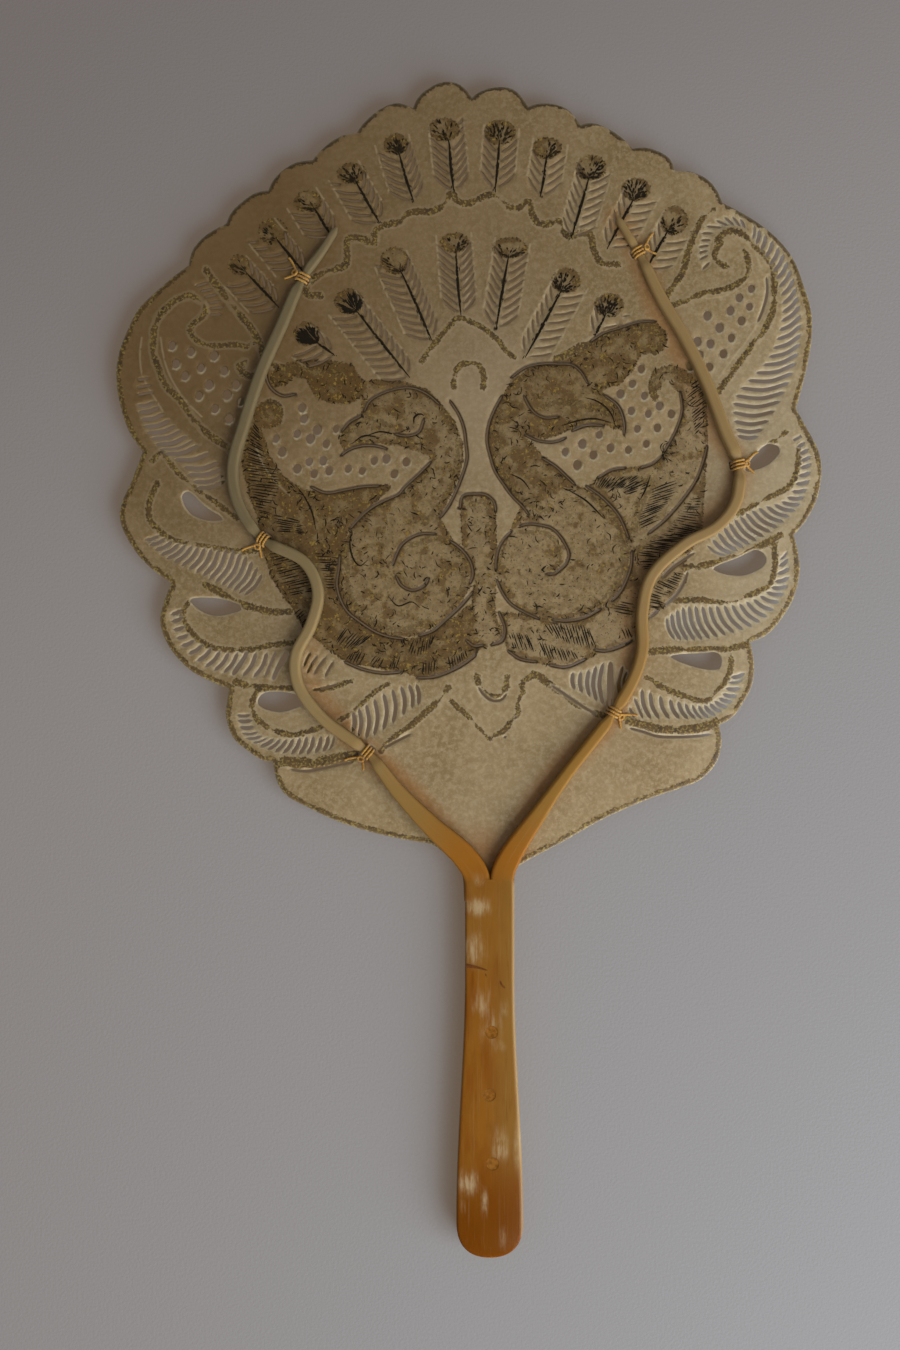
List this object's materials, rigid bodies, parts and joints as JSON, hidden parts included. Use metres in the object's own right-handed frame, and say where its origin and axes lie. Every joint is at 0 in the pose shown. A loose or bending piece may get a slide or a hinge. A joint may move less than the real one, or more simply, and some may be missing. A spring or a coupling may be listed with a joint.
{
  "type": "hand fan",
  "caption": "Rigid hand fan: a pierced hide leaf with a scalloped edge, held between the front and back halves of a forked horn handle by pegs and thread lashings.",
  "frame": {"origin": "under the middle of the fan's box, on the surface that the fan lies on", "axes": "+Y from the end of the grip to the top of the leaf, +Z out of the front face, +X to the right seen from the front"},
  "size_m": [0.2256, 0.3744, 0.0098],
  "materials": {
    "hide": "translucent beige rawhide, satin, inked and gilt",
    "horn": "polished amber horn",
    "peg_horn": "polished horn, cut flush",
    "thread": "golden yellow thread"
  },
  "bodies": {
    "root": {"leaf": "hide", "handle_front": "horn", "handle_back": "horn", "peg_upper": "peg_horn", "peg_middle": "peg_horn", "peg_lower": "peg_horn", "tie_left_bottom": "thread", "tie_left_middle": "thread", "tie_left_top": "thread", "tie_right_bottom": "thread", "tie_right_middle": "thread", "tie_right_top": "thread"}
  },
  "joints": []
}
